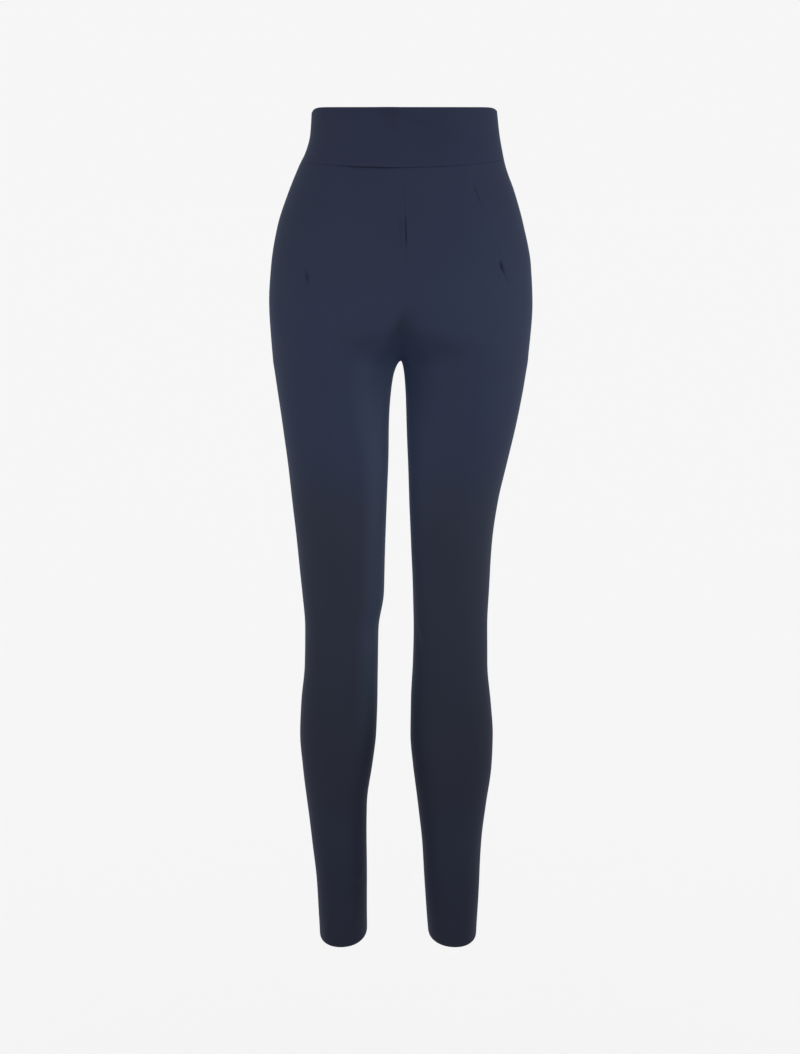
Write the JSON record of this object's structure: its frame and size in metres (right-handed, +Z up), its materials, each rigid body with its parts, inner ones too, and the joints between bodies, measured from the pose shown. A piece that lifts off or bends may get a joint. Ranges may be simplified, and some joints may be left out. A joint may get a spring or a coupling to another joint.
{
  "type": "high-waisted trousers",
  "caption": "Slim high-waisted trousers in dark navy stretch crepe, held in their worn shape, with a deep waistband, long back darts and open hems.",
  "frame": {"origin": "middle of the waist opening, level with the waistband's top edge, on the plumb line that the trousers hang round", "axes": "+Z up, out of the waist opening; +Y the front of the trousers, so -Y is the back, which is taken to be the side the picture shows; +X the wearer's right leg, -X the left"},
  "size_m": [0.3221, 0.2293, 1.0591],
  "materials": {
    "navy_crepe_waistband": "matt crepe with a faint sheen",
    "navy_crepe_legs": "matt crepe with a faint sheen"
  },
  "bodies": {
    "root": {"waistband_back": "navy_crepe_waistband", "waistband_front": "navy_crepe_waistband", "back_left_leg": "navy_crepe_legs", "back_right_leg": "navy_crepe_legs", "front_left_leg": "navy_crepe_legs", "front_right_leg": "navy_crepe_legs"}
  },
  "joints": []
}
